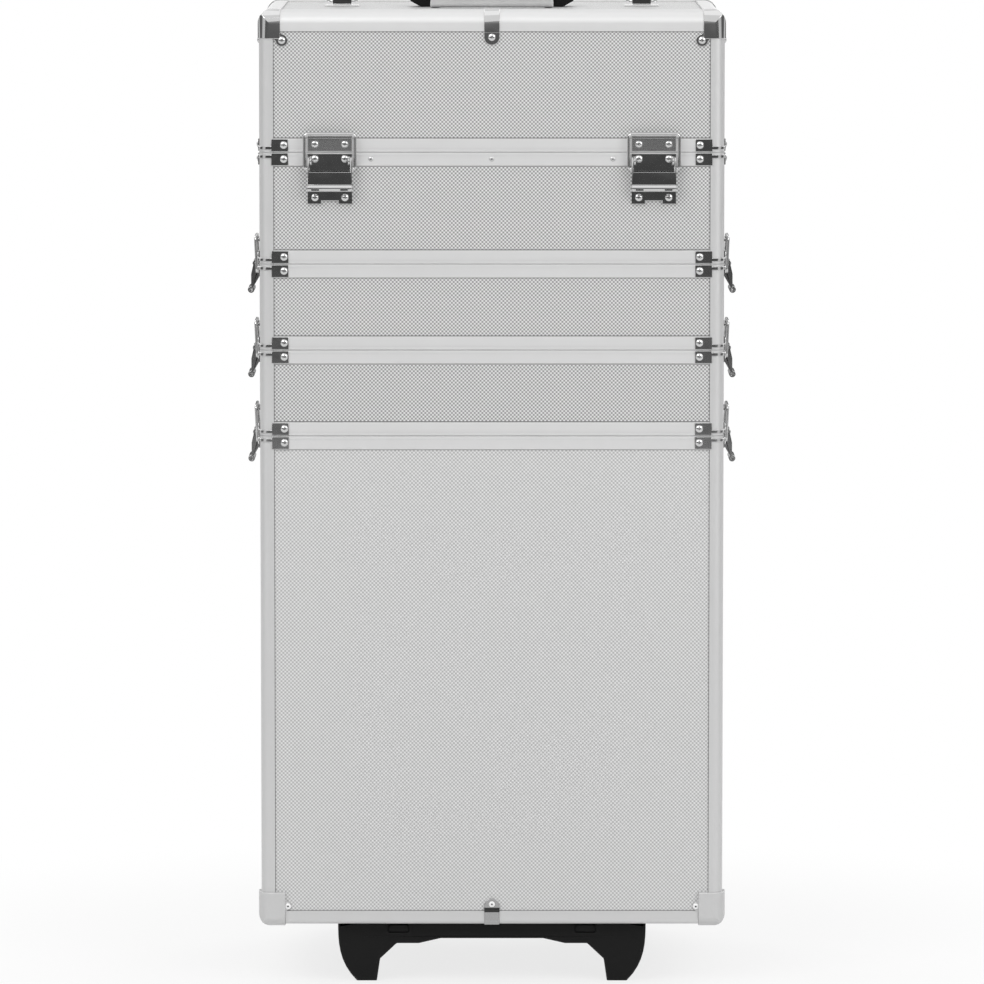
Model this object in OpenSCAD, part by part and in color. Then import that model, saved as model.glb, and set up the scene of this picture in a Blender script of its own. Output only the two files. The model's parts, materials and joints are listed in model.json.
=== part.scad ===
// Rolling makeup case: lift-off tiers on a trolley base, closed by draw latches
// The front faces -Y, +X is to the right seen from the front, +Z is up
// The origin is on the floor, under the middle of the whole outline

/* [Case] */
// Outside width over the corner posts
case_w = 345; // [320:1:420]
// Outside depth over the corner posts
case_d = 235; // [215:1:300]
// Height of the hinged lid
lid_h = 105; // [90:1:140]
// Height of the tier under the lid
top_case_h = 83; // [75:1:120]
// Height of the upper tray
upper_tray_h = 64; // [60:1:100]
// Height of the lower tray
lower_tray_h = 64; // [60:1:100]
// Height of the lower case
lower_case_h = 367; // [320:1:450]
// Height of the lower case above the floor
ground_clearance = 46; // [44:1:60]
// Gap between two tiers
seam_gap = 0.3; // [0.2:0.1:0.6]

/* [Panels and rails] */
// Thickness of a wall panel
panel_t = 4; // [3:0.5:5]
// Thickness of a tier's floor
floor_t = 3; // [2:0.5:4]
// Height of a tier's floor above the tier's lower edge
floor_lift = 0.6; // [0.4:0.1:2]
// How far the rails stand out from the panels
rail_proud = 1.2; // [0.8:0.1:1.6]
// Thickness of a rail's inner flange
flange_t = 1.2; // [0.8:0.1:2]
// Leg width of a corner post
post_s = 10.5; // [10:0.5:13]
// Outer radius of a corner post
post_r = 8; // [6:0.5:9]
// How deep a panel sits in a post or an edge rail
slot_d = 4; // [2:0.5:4]
// Height of a rim rail's outer flange
rim_h = 10; // [8.5:0.5:12]
// Height of a rim rail's inner flange
rim_in = 8; // [6:0.5:9]
// Thickness of a rim rail across the panel's edge
rim_web = 4.6; // [4.2:0.1:5.5]
// Joint gap where a rail's end meets a post or a corner fitting
joint_gap = 0.1; // [0.05:0.05:0.3]
// Small edge cut along a rim rail's outer face
edge_cut = 0.5; // [0.3:0.1:0.8]
// Distance of the fine groove in a rim rail's face from the seam
groove_z = 2.4; // [1.6:0.1:4]
// Width of that groove
groove_w = 0.5; // [0.3:0.1:0.8]
// Depth of that groove
groove_d = 0.3; // [0.2:0.1:0.5]
// Thickness of the rim's tongue
tongue_t = 1.8; // [1.4:0.1:2.2]
// Height of the rim's tongue
tongue_h = 3; // [2:0.1:3.4]
// Clearance round the tongue
tongue_gap = 0.4; // [0.3:0.1:0.6]
// Distance from the tongue's end to the corner post
tongue_inset = 2; // [1:0.5:6]
// Leg width of the lid's top edge rails
lid_edge_s = 15.7; // [14:0.1:18]
// Outer radius of the lid's top edge rails
lid_edge_r = 10; // [7:0.5:11]
// Leg width of the lower case's bottom edge rails
base_edge_s = 10; // [9.6:0.1:13]
// Outer radius of the lower case's bottom edge rails
base_edge_r = 3; // [2:0.5:6]

/* [Corner fittings] */
// Height of a lid corner guard
guard_h = 21; // [19:0.5:26]
// Sheet thickness of guards, caps, clips and braces
trim_t = 0.9; // [0.6:0.1:1.2]
// Width of a bottom corner cap
cap_w = 18; // [15:0.5:24]
// Height of a bottom corner cap
cap_h = 24; // [18:0.5:32]
// Outer radius of a bottom corner cap
cap_r = 10; // [6:0.5:12]
// How far a bottom corner cap stands out from the case
cap_out = 2; // [1:0.1:2.5]
// Distance of a guard's rivet ear from the side edge
guard_ear_x = 17; // [17:0.5:20]
// Distance of a guard's rivet ear below the lid's top
guard_ear_z = 22.3; // [22:0.1:25]
// Radius of a guard's rivet ear
guard_ear_r = 4.4; // [3.6:0.1:5]
// Width of the neck between a guard and its rivet ear
guard_neck = 7; // [4:0.5:7]
// Distance of a cap's rivet ear from the side edge
cap_ear_x = 18.7; // [17:0.1:26]
// Distance of a cap's rivet ear above the case's bottom
cap_ear_z = 13.4; // [11.5:0.1:20]
// Radius of a cap's rivet ear
cap_ear_r = 3.6; // [3:0.1:4.5]
// Thickness of a rivet ear
ear_t = 1.4; // [1:0.1:2]
// Width of the clips at the middle of the edges
clip_w = 11.4; // [8:0.2:16]
// Distance of the lid clip's rivet below the lid's top
lid_clip_z = 20; // [19.5:0.1:26]
// Distance of the bottom clip's rivet above the case's bottom
base_clip_z = 13.6; // [13:0.1:20]
// How far a clip reaches over its edge
clip_over = 6; // [4:0.5:12]
// Distance of a seam brace's plate from the side edge
brace_x = 9; // [8.5:0.5:10]
// Width of a seam brace's plate
brace_w = 12.7; // [10:0.1:16]
// Height of the strap that runs round the corner
strap_h = 2.3; // [1.6:0.1:3]
// Distance of that strap from the seam
strap_z = 1.9; // [1:0.1:3]

/* [Draw latches] */
// Width of a latch's plates
latch_w = 32.9; // [28:0.1:36]
// Distance of the front latches from the side edge
latch_edge = 52.5; // [48:0.5:80]
// Sheet thickness of the latches
latch_t = 1.2; // [1:0.1:1.4]
// Height from the seam to the lower end of a latch's base plate
base_drop = 38.4; // [37:0.1:42]
// Distance of the plates from the seam
plate_gap = 0.9; // [0.7:0.1:1.6]
// Width of the notch in the base plate's lower edge
notch_w = 12.7; // [8:0.1:16]
// Depth of that notch
notch_d = 2.5; // [1.5:0.1:3]
// Top of the catch's hook above the seam
catch_h = 11.4; // [10:0.1:12]
// Distance of the lever's pivot from the rail's face
pivot_u = 5.6; // [5.4:0.1:7]
// Distance of the lever's pivot below the seam
pivot_z = 6.5; // [6:0.1:7.5]
// Radius of the pivot pin
pivot_r = 1.2; // [1:0.05:1.4]
// Running clearance of the pins, on the radius
run_gap = 0.05; // [0.03:0.01:0.1]
// Radius of the ears round the pivot
lug_r = 2.8; // [2.6:0.1:3]
// Side clearance between ears, lever and bail
side_gap = 0.45; // [0.3:0.05:0.8]
// Distance of the lever's plate from the rail's face
lever_u = 8.2; // [8:0.1:9.5]
// Upper edge of the lever's plate below the seam
lever_top = 14.5; // [13:0.1:16]
// Distance of the curl below the seam
curl_z = 26.4; // [24:0.1:28]
// Outer radius of the curl
curl_r = 2.5; // [2:0.1:3]
// Distance of the curl's finger slots from the latch's middle
finger_x = 10.7; // [8:0.1:12]
// Length of a finger slot
finger_l = 5.7; // [4:0.1:7]
// Height of a finger slot
finger_h = 1; // [0.6:0.1:1.4]
// Radius of the bail's wire
wire_r = 1.2; // [1:0.05:1.4]
// Outside width of the bail
bail_w = 39.9; // [39:0.1:46]
// Bend radius at the bail's corners
bend_r = 2.2; // [1.8:0.1:2.2]
// Distance of the bail's bar from the rail's face
bar_u = 5.8; // [5.6:0.1:7]
// Distance of the bail's bar above the seam
bar_z = 13.4; // [13:0.1:15]
// Distance of the bail's ends from the rail's face
end_u = 4.7; // [4.5:0.1:5.2]
// Distance of the bail's ends below the seam
end_z = 12.6; // [11.8:0.1:13.4]
// Clearance between the bail's bar and the hook
hook_gap = 0.35; // [0.3:0.05:0.8]

/* [Lid hinge] */
// Length of the hinge
hinge_l = 240; // [160:4:260]
// Number of knuckles
knuckles = 8; // [4:2:16]
// Outer radius of a knuckle
knuckle_r = 3; // [2.6:0.1:3.4]
// Radius of the hinge pin
hinge_pin_r = 1.4; // [1.2:0.1:1.6]
// Clearance between knuckles and the case
knuckle_gap = 0.4; // [0.3:0.05:0.6]
// Height of a hinge leaf
leaf_h = 9; // [6:0.5:9.5]

/* [Lid fittings] */
// Inside width between the carry handle's brackets
carry_w = 93; // [80:1:120]
// Width of a carry handle bracket
bracket_w = 15; // [12:0.5:20]
// Depth of a carry handle bracket
bracket_d = 22; // [18:1:30]
// Height of a carry handle bracket
bracket_h = 13; // [12:0.5:16]
// Width of the slope at a bracket's lower outer corner
bracket_slope_w = 8; // [4:0.5:10]
// Height of that slope
bracket_slope_h = 4.5; // [3:0.5:6]
// Height of the carry handle's pivot above the lid
carry_z = 6.6; // [6.6:0.1:8.5]
// Length of the carry handle from pivot to grip
carry_l = 34; // [28:1:50]
// Thickness of the carry handle
carry_t = 12; // [8:0.5:12]
// Depth of the carry handle's grip
grip_bar_d = 13; // [11:0.5:18]
// Thickness of a carry handle's arm, seen from the front
carry_arm_t = 6.4; // [5:0.2:10]
// Radius of the carry handle's pivot pins
carry_pin_r = 2.5; // [2:0.1:3]
// Length of those pins
carry_pin_l = 6; // [4:0.5:9]
// Clearance beside the carry handle
carry_gap = 0.6; // [0.4:0.1:1]
// Distance of the strap saddles from the middle
saddle_x = 113; // [96:1:125]
// Width of a strap saddle's plate
saddle_w = 26; // [22:0.5:32]
// Depth of a strap saddle's plate
saddle_d = 16; // [12:0.5:22]
// Length of a strap saddle's barrel
barrel_l = 14; // [10:0.5:15]
// Outer radius of a strap saddle's barrel
barrel_r = 4; // [3.4:0.1:4.6]
// Radius of a strap ring's wire
ring_wire_r = 2; // [1.6:0.1:2.4]
// Radius of a strap ring's bow
ring_r = 10; // [9.5:0.5:14]
// Straight length between a strap ring's bar and its bow
ring_leg = 8; // [6:0.5:14]

/* [Trolley] */
// Half the width over the front feet
foot_half_w = 115.4; // [100:0.1:125]
// How far a foot's outer side draws in towards the floor
foot_taper = 14; // [8:0.5:20]
// Width of a foot's sole
foot_sole = 15; // [10:0.5:20]
// Height where a foot's inner side meets the web
foot_knee = 17.5; // [12:0.5:22]
// How far a foot's inner side leans out from sole to knee
foot_lean = 2.5; // [1:0.5:8]
// Width of the sloping web beside a foot
web_w = 12.4; // [8:0.2:18]
// Width of the flat under the web
web_flat = 16.7; // [10:0.1:24]
// Width of the slope from the web to the beam
web_slope = 16.4; // [10:0.1:22]
// Thickness of the web under the case
web_h = 16.6; // [14:0.2:20]
// Thickness of the beam between the feet
beam_h = 12.8; // [9:0.2:13]
// Depth of the front feet moulding
foot_d = 46; // [36:1:60]
// Distance of the front feet behind the case's front
foot_inset = 12; // [6:1:30]
// Depth that a foot loses at the front and back towards the floor
foot_draft = 7; // [3:0.5:12]
// Distance of the raised pads on the front from the middle
pad_x = 70; // [58:0.5:80]
// Width of a raised pad
pad_w = 16; // [8:0.5:20]
// Height of a raised pad
pad_h = 6; // [3:0.5:9]
// Distance of a raised pad below the case
pad_drop = 2; // [1:0.5:4]
// How far a raised pad stands out
pad_out = 1.2; // [0.6:0.1:2]
// Radius of a wheel
wheel_r = 26; // [24:0.5:28]
// Width of a tyre
tyre_w = 22; // [16:0.5:28]
// Thickness of a tyre
tyre_t = 6; // [4:0.5:8]
// Distance of the axle behind the case's back
wheel_u = 19.5; // [19:0.5:30]
// How far the hub's rim is set in from the tyre's sides
hub_inset = 1; // [0.5:0.1:2]
// Wall of a hub's boss round the axle
hub_boss_t = 5; // [4:0.5:6]
// Radius of the axle
axle_r = 4; // [3:0.1:5]
// Radius of the runners' ends round the axle
axle_boss_r = 12; // [9:0.5:16]
// Radius of the axle's end caps
axle_cap_r = 7; // [5.5:0.5:8]
// Thickness of the axle's end caps
axle_cap_t = 3; // [2:0.5:5]
// Side clearance of a wheel
wheel_gap = 0.4; // [0.3:0.1:1]
// Distance of the runners from the middle
runner_x = 84; // [78:1:96]
// Width of a runner
runner_w = 14; // [10:0.5:18]
// Height of a runner
runner_h = 14; // [10:0.5:18]
// Depth of the cross bar between the runners
cross_d = 30; // [20:1:45]
// Distance of the cross bar from the case's back
cross_inset = 12; // [6:1:30]

/* [Pull handle] */
// Distance of the tubes from the middle
tube_x = 75; // [55:1:78]
// Distance of the tubes' middle behind the case's back
tube_u = 20; // [20:0.5:24]
// Width of an outer tube
tube_w = 24; // [20:0.5:28]
// Depth of an outer tube
tube_d = 16; // [14:0.5:20]
// Wall of the tubes
tube_wall = 1.2; // [1:0.1:1.6]
// Clearance between the tubes
tube_gap = 0.4; // [0.3:0.1:0.6]
// Height of the tubes' lower end above the floor
tube_z = 60; // [56:1:80]
// Distance of the outer tubes' top below the lower case's top
tube_drop = 9; // [4:1:20]
// Height step between one tube's end and the next
tube_step = 4; // [3:0.5:8]
// Travel of one stage of the handle
stage_travel = 280; // [200:1:285]
// Height of a tube bracket
tube_bracket_h = 26; // [16:1:40]
// Wall of a tube bracket round its tube
tube_bracket_t = 5; // [3:0.5:8]
// Room for the hand under the grip
hand_gap = 29; // [24:1:40]
// Depth of the grip
grip_d = 24; // [20:0.5:24]
// Height of the grip
grip_h = 24; // [20:0.5:30]
// How far the grip reaches beyond the tubes' middle
grip_over = 17; // [14:0.5:24]
// Edge radius of the grip
grip_r = 8; // [4:0.5:9]
// Length of the release button
button_l = 40; // [28:1:60]
// Depth of the release button
button_d = 11; // [8:0.5:12]
// How far the button stands up
button_up = 3.5; // [3:0.1:5]
// Travel of the button
button_travel = 3; // [2:0.1:3.5]
// Clearance round the button
button_gap = 0.3; // [0.2:0.05:0.5]
// Depth of the button inside the grip
button_in = 6; // [4:0.5:8]

/* [Hidden] */
$fn = 48;
round_steps = 8;
overcut = 1;
half_w = case_w / 2;
half_d = case_d / 2;
z_base = ground_clearance;
z_lower_tray = z_base + lower_case_h;
z_upper_tray = z_lower_tray + lower_tray_h;
z_top_case = z_upper_tray + upper_tray_h;
z_lid = z_top_case + top_case_h;
z_top = z_lid + lid_h;
z_deck = z_top - rail_proud;
rim_d = rail_proud + panel_t + flange_t;
tongue_a = rail_proud + (panel_t - tongue_t) / 2;
lever_t = latch_t;
curl_u = lever_u + lever_t / 2 + (curl_r - lever_t) / 2;
latch_out = curl_u + curl_r;
latch_x = half_w - latch_edge;
rear_out = wheel_u + wheel_r;
case_y = (latch_out - rear_out) / 2;
cheek_x = latch_w / 2 - latch_t;
lug_x = cheek_x - side_gap - latch_t;
bail_x = bail_w / 2 - wire_r;
bail_len = norm([bar_u - end_u, bar_z + end_z]);
bail_tilt = atan2(bar_u - end_u, bar_z + end_z);
hook_u = bar_u - wire_r - hook_gap;
hinge_u = knuckle_r + knuckle_gap;
knuckle_l = hinge_l / knuckles;
hub_r = wheel_r - tyre_t;
wheel_x = runner_x + runner_w / 2 + wheel_gap;
tube_top = z_lower_tray - tube_drop;
mid_w = tube_w - 2 * (tube_wall + tube_gap);
mid_d = tube_d - 2 * (tube_wall + tube_gap);
inner_w = mid_w - 2 * (tube_wall + tube_gap);
inner_d = mid_d - 2 * (tube_wall + tube_gap);
mid_top = tube_top + tube_step;
grip_z = mid_top + hand_gap;
pull_y = half_d + tube_u;

// Points along a round corner
function arc(c, r, a0, a1) =
    [for (i = [0:round_steps]) let (a = a0 + (a1 - a0) * i / round_steps) c + r * [cos(a), sin(a)]];

// Section of a rim rail: x inwards from the outer face, y away from the seam
function rim_section(grooved) = concat(
    [[edge_cut, 0]],
    grooved ? [
        [tongue_a - tongue_gap, 0], [tongue_a - tongue_gap, tongue_h + tongue_gap],
        [tongue_a + tongue_t + tongue_gap, tongue_h + tongue_gap], [tongue_a + tongue_t + tongue_gap, 0]
    ] : [],
    [
        [rim_d, 0], [rim_d, rim_in], [rim_d - flange_t, rim_in], [rim_d - flange_t, rim_web],
        [rail_proud, rim_web], [rail_proud, rim_h], [edge_cut, rim_h], [0, rim_h - edge_cut],
        [0, groove_z + groove_w], [groove_d, groove_z + groove_w], [groove_d, groove_z], [0, groove_z],
        [0, edge_cut]
    ]
);

// Section of a post or an edge rail: both axes inwards from the outer corner, a slot in each leg
function edge_section(s, r) = concat(
    arc([r, r], r, 180, 270),
    [
        [s, 0], [s, rail_proud], [s - slot_d, rail_proud], [s - slot_d, rail_proud + panel_t],
        [s, rail_proud + panel_t], [s, rim_d], [rim_d, rim_d], [rim_d, s], [rail_proud + panel_t, s],
        [rail_proud + panel_t, s - slot_d], [rail_proud, s - slot_d], [rail_proud, s], [0, s]
    ]
);

// Outline of one side of a corner fitting that stands out from the case
function fitting_section(sx, sy, r, out) = concat(
    arc([r - out, r - out], r, 180, 270),
    [[sx, -out], [sx, sy], [-out, sy]]
);

// Outline with four round corners, centred
function round_rect(w, h, r) = concat(
    arc([w / 2 - r, h / 2 - r], r, 0, 90), arc([r - w / 2, h / 2 - r], r, 90, 180),
    arc([r - w / 2, r - h / 2], r, 180, 270), arc([w / 2 - r, r - h / 2], r, 270, 360)
);

module at_case() {
    translate([0, case_y, 0]) children();
}

// Carries a section drawn in Y and Z along X
module bar(l) {
    rotate([90, 0, 90]) linear_extrude(height = l, center = true) children();
}

// Places children at the front and mirrored at the back
module front_and_back() {
    for (m = [0, 1]) mirror([0, m, 0]) translate([0, -half_d, 0]) children();
}

// Places children at the left and mirrored at the right, turned to run along Y
module both_sides() {
    for (m = [0, 1]) mirror([m, 0, 0]) translate([-half_w, 0, 0]) rotate([0, 0, -90]) children();
}

// Places children at the four outer corners, with X and Y inwards
module four_corners() {
    for (mx = [0, 1], my = [0, 1])
        mirror([mx, 0, 0]) mirror([0, my, 0]) translate([-half_w, -half_d, 0]) children();
}

// One rim rail between two posts, with its tongue or its groove
module rim_rail(l, tongued, grooved) {
    bar(l - 2 * joint_gap) polygon(rim_section(grooved));
    if (tongued)
        translate([0, tongue_a, -tongue_h])
            bar(l - 2 * tongue_inset) square([tongue_t, tongue_h + edge_cut]);
}

// Rim rails on four sides: upper rims carry tongues, lower rims carry grooves
module rim(z, upper, rear_tongue = true) {
    translate([0, 0, z]) mirror([0, 0, upper ? 1 : 0]) {
        for (m = [0, 1])
            mirror([0, m, 0]) translate([0, -half_d, 0])
                rim_rail(case_w - 2 * post_s, upper && (m == 0 || rear_tongue), !upper);
        both_sides() rim_rail(case_d - 2 * post_s, upper, !upper);
    }
}

// One edge rail between two corner fittings; local Y and Z run inwards
module edge_rail(l, s, r) {
    bar(l - 2 * joint_gap) polygon(edge_section(s, r));
}

module posts(z, h) {
    four_corners() translate([0, 0, z]) linear_extrude(height = h) polygon(edge_section(post_s, post_r));
}

// Wall panels that stop short of the tier's two edges
module walls(z, h, low, high) {
    half_x = half_w - post_s + slot_d;
    half_y = half_d - post_s + slot_d;
    front_and_back() translate([-half_x, rail_proud, z + low]) cube([2 * half_x, panel_t, h - low - high]);
    both_sides() translate([-half_y, rail_proud, z + low]) cube([2 * half_y, panel_t, h - low - high]);
}

module tier_panels(z, h) {
    walls(z, h - seam_gap, rim_web, rim_web);
    translate([rim_d - half_w, rim_d - half_d, z + floor_lift])
        cube([case_w - 2 * rim_d, case_d - 2 * rim_d, floor_t]);
}

module tier_frame(z, h, rear_tongue = true) {
    posts(z, h - seam_gap);
    rim(z, false);
    rim(z + h - seam_gap, true, rear_tongue);
}

// Flat sheet between two edge rails, in their slots
module slotted_sheet(z, edge_s) {
    half_x = half_w - edge_s + slot_d;
    half_y = half_d - edge_s + slot_d;
    translate([-half_x, -half_y, z]) cube([2 * half_x, 2 * half_y, panel_t]);
}

// Room at the four corners for corner fittings
module fitting_room(z, w, h) {
    four_corners() translate([0, 0, z]) cube([w, w, h]);
}

// Corner fitting with three round edges, open inside; local X, Y and Z run inwards
module corner_fitting(w, h, r, out) {
    difference() {
        intersection() {
            translate([0, 0, -out]) linear_extrude(height = h + out)
                polygon(fitting_section(w, w, post_r + out, out));
            translate([-out, 0, 0]) rotate([90, 0, 90])
                linear_extrude(height = w + out) polygon(fitting_section(w, h, r, out));
            translate([0, w, 0]) rotate([90, 0, 0])
                linear_extrude(height = w + out) polygon(fitting_section(w, h, r, out));
        }
        translate([rim_d, rim_d, rim_d]) cube([w, w, h]);
    }
}

// Rivet ears beside a corner fitting, one on the front or back panel and one on the side panel
module corner_ears(x, z, r, w, h, out, neck = 0) {
    difference() {
        for (m = [0, 1]) mirror([m, -m, 0]) translate([x, rail_proud, z]) rotate([90, 0, 0]) {
            cylinder(r = r, h = ear_t);
            if (neck > 0)
                rotate([0, 0, 45]) translate([-x, -neck / 2, 0]) cube([x, neck, ear_t]);
        }
        translate([-out, -out, -out]) cube([w + out, w + out, h + out]);
        translate([-out, -out, 0]) cube([post_s + out, post_s + out, 2 * h]);
    }
}

// Seam brace round one corner post; local X and Y run inwards, Z away from the seam
module brace() {
    plate_h = rim_h - edge_cut;
    for (m = [0, 1]) mirror([m, -m, 0]) {
        translate([brace_x, -trim_t, edge_cut]) cube([brace_w, trim_t, plate_h - edge_cut]);
        translate([post_r, -trim_t, strap_z]) cube([brace_x - post_r, trim_t, strap_h]);
    }
    translate([post_r, post_r, strap_z]) rotate([0, 0, 180]) rotate_extrude(angle = 90)
        translate([post_r, 0]) square([trim_t, strap_h]);
}

module braces(z, upper) {
    translate([0, 0, z]) mirror([0, 0, upper ? 1 : 0]) four_corners() brace();
}

module tier_braces(z, h) {
    braces(z, false);
    braces(z + h - seam_gap, true);
}

// Edge clip with a round tab on the panel; local Y and Z run inwards
module edge_clip(s, r, tab_z) {
    step_z = s + trim_t;
    bar(clip_w) polygon(concat(
        [[0, step_z], [-trim_t, step_z]], arc([r, r], r + trim_t, 180, 270),
        [[r + clip_over, -trim_t], [r + clip_over, 0]],
        arc([r, r], r, 270, 180)
    ));
    translate([0, rail_proud, 0]) rotate([90, 0, 0]) {
        difference() {
            translate([0, tab_z]) cylinder(r = clip_w / 2, h = ear_t);
            translate([-clip_w, s - clip_w]) cube([2 * clip_w, clip_w, ear_t]);
        }
        translate([-clip_w / 2, s]) cube([clip_w, tab_z - s, ear_t]);
    }
}

// Stands a latch on a face: local X runs along the face, -Y outwards, Z up from the seam
module at_latch(face, z, x = 0) {
    turn = face == "front" ? 0 : face == "left" ? -90 : 90;
    place = face == "front" ? [x, -half_d, z] : [face == "left" ? -half_w : half_w, 0, z];
    at_case() translate(place) rotate([0, 0, turn]) children();
}

// Carries a section drawn outwards and upwards across a latch
module across(w) {
    mirror([0, 1, 0]) bar(w) children();
}

module latch_base() {
    step_z = seam_gap + rim_h;
    difference() {
        across(latch_w) polygon([
            [0, -plate_gap - seam_gap], [latch_t, -plate_gap - seam_gap], [latch_t, -base_drop],
            [-rail_proud, -base_drop], [-rail_proud, -step_z], [0, -step_z]
        ]);
        translate([-notch_w / 2, -2 * latch_t, -base_drop - notch_d])
            cube([notch_w, 2 * latch_t + 2 * rail_proud, 2 * notch_d]);
    }
    for (s = [-1, 1])
        translate([s * (lug_x + latch_t / 2), 0, 0]) across(latch_t) polygon(concat(
            [[latch_t / 2, -pivot_z - lug_r]], arc([pivot_u, -pivot_z], lug_r, -90, 90),
            [[latch_t / 2, -pivot_z + lug_r]]
        ));
    for (s = [-1, 1])
        translate([s * lug_x, -pivot_u, -pivot_z]) rotate([0, s * 90, 0])
            cylinder(r = pivot_r, h = latch_w / 2 - lug_x);
}

module latch_catch() {
    across(latch_w) polygon([
        [0, plate_gap], [latch_t, plate_gap], [latch_t, catch_h - latch_t], [hook_u, catch_h - latch_t],
        [hook_u, catch_h + latch_t / 2], [hook_u - latch_t, catch_h + latch_t / 2],
        [hook_u - latch_t, catch_h], [0, catch_h]
    ]);
}

module lever(face, z, x = 0) {
    front_u = lever_u + lever_t;
    plate_low = curl_z - curl_r / 2;
    color("silver") at_latch(face, z, x) difference() {
        union() {
            across(latch_w) polygon([
                [lever_u, -lever_top], [front_u, -lever_top], [front_u, -plate_low], [lever_u, -plate_low]
            ]);
            for (s = [-1, 1])
                translate([s * (cheek_x + latch_t / 2), 0, 0]) across(latch_t) polygon([
                    [pivot_u - lug_r, lug_r / 2 - pivot_z], [pivot_u - lug_r / 2, lug_r - pivot_z],
                    [pivot_u + lug_r / 2, lug_r - pivot_z], [front_u, -lever_top], [front_u, -plate_low],
                    [lever_u, -plate_low], [end_u - 2 * wire_r, -end_z - 2 * wire_r],
                    [end_u - 2 * wire_r, -end_z]
                ]);
            translate([-latch_w / 2, -curl_u, -curl_z]) rotate([0, 90, 0]) cylinder(r = curl_r, h = latch_w);
        }
        translate([-latch_w, -curl_u, -curl_z]) rotate([0, 90, 0])
            cylinder(r = curl_r - latch_t, h = 2 * latch_w);
        translate([-latch_w, -pivot_u, -pivot_z]) rotate([0, 90, 0])
            cylinder(r = pivot_r + run_gap, h = 2 * latch_w);
        translate([-latch_w, -end_u, -end_z]) rotate([0, 90, 0])
            cylinder(r = wire_r + run_gap, h = 2 * latch_w);
        for (s = [-1, 1])
            translate([s * finger_x - finger_l / 2, -curl_u - 2 * curl_r, -curl_z - 1.5 * finger_h])
                cube([finger_l, 2 * curl_r, finger_h]);
    }
}

// Quarter bend of the bail's wire in X and Z
module wire_bend(turn) {
    rotate([90, 0, 0]) rotate([0, 0, turn]) rotate_extrude(angle = 90) translate([bend_r, 0]) circle(wire_r);
}

module bail(face, z, x = 0) {
    straight = bail_x - bend_r;
    inner = cheek_x - side_gap / 2;
    color("silver") at_latch(face, z, x) translate([0, -end_u, -end_z]) rotate([bail_tilt, 0, 0]) {
        translate([-straight, 0, bail_len]) rotate([0, 90, 0]) cylinder(r = wire_r, h = 2 * straight);
        for (m = [0, 1]) mirror([m, 0, 0]) {
            translate([straight, 0, bail_len - bend_r]) wire_bend(0);
            translate([bail_x, 0, bend_r]) cylinder(r = wire_r, h = bail_len - 2 * bend_r);
            translate([straight, 0, bend_r]) wire_bend(270);
            translate([inner, 0, 0]) rotate([0, 90, 0]) cylinder(r = wire_r, h = straight - inner);
        }
    }
}

module side_bases(z) {
    for (face = ["left", "right"]) at_latch(face, z) latch_base();
}

module side_catches(z) {
    for (face = ["left", "right"]) at_latch(face, z) latch_catch();
}

// Knuckles of one leaf with their stretch of leaf, local Y outwards from the back, Z up from the seam
module hinge_leaf(first, bore_r) {
    clear_z = knuckle_r + knuckle_gap;
    difference() {
        union() {
            translate([-hinge_l / 2, 0, clear_z]) cube([hinge_l, latch_t, leaf_h - clear_z]);
            for (i = [first:2:knuckles - 1])
                translate([-hinge_l / 2 + i * knuckle_l + side_gap / 2, 0, 0]) {
                    translate([0, hinge_u, 0]) rotate([0, 90, 0])
                        cylinder(r = knuckle_r, h = knuckle_l - side_gap);
                    translate([0, 0, knuckle_gap]) cube([knuckle_l - side_gap, latch_t, clear_z]);
                }
        }
        translate([-hinge_l, hinge_u, 0]) rotate([0, 90, 0]) cylinder(r = bore_r, h = 2 * hinge_l);
    }
}

// Rectangular tubes of one stage of the pull handle
module tube_pair(w, d, low, high) {
    for (s = [-1, 1])
        translate([s * tube_x, pull_y, low]) difference() {
            linear_extrude(height = high - low) polygon(round_rect(w, d, tube_wall));
            translate([tube_wall - w / 2, tube_wall - d / 2, -tube_wall])
                cube([w - 2 * tube_wall, d - 2 * tube_wall, high - low + 2 * tube_wall]);
        }
}

// Stands a wheel beside its runner: local Z runs outwards along the axle
module at_wheel(side) {
    at_case() translate([side * wheel_x, half_d + wheel_u, wheel_r]) rotate([0, side * 90, 0]) children();
}

module hub(side) {
    boss_r = axle_r + hub_boss_t;
    rim_t = tyre_t / 2;
    web_t = tyre_w / 3;
    spoke_r = (hub_r - rim_t - boss_r) / 2;
    color("#2b2b2b") at_wheel(side)
        difference() {
            rotate_extrude() polygon([
                [axle_r + run_gap, 0], [boss_r, 0], [boss_r, web_t], [hub_r - rim_t, web_t],
                [hub_r - rim_t, hub_inset], [hub_r, hub_inset], [hub_r, tyre_w - hub_inset],
                [hub_r - rim_t, tyre_w - hub_inset], [hub_r - rim_t, 2 * web_t],
                [boss_r, 2 * web_t], [boss_r, tyre_w], [axle_r + run_gap, tyre_w]
            ]);
            for (a = [0:72:288])
                rotate([0, 0, a]) translate([boss_r + spoke_r, 0, -overcut])
                    cylinder(r = 0.8 * spoke_r, h = tyre_w + 2 * overcut);
        }
}

module tyre(side) {
    edge_r = tyre_t / 2;
    color("#1c1c1c") at_wheel(side)
        rotate_extrude() polygon(concat(
            [[hub_r, hub_inset]], arc([wheel_r - edge_r, edge_r], edge_r, -90, 0),
            arc([wheel_r - edge_r, tyre_w - edge_r], edge_r, 0, 90), [[hub_r, tyre_w - hub_inset]]
        ));
}

module lower_case_panels() color("#d4d4d4") at_case() difference() {
    union() {
        walls(z_base, lower_case_h - seam_gap, base_edge_s - slot_d, rim_web);
        slotted_sheet(z_base + rail_proud, base_edge_s);
    }
    fitting_room(z_base, cap_w, cap_h);
}

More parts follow.
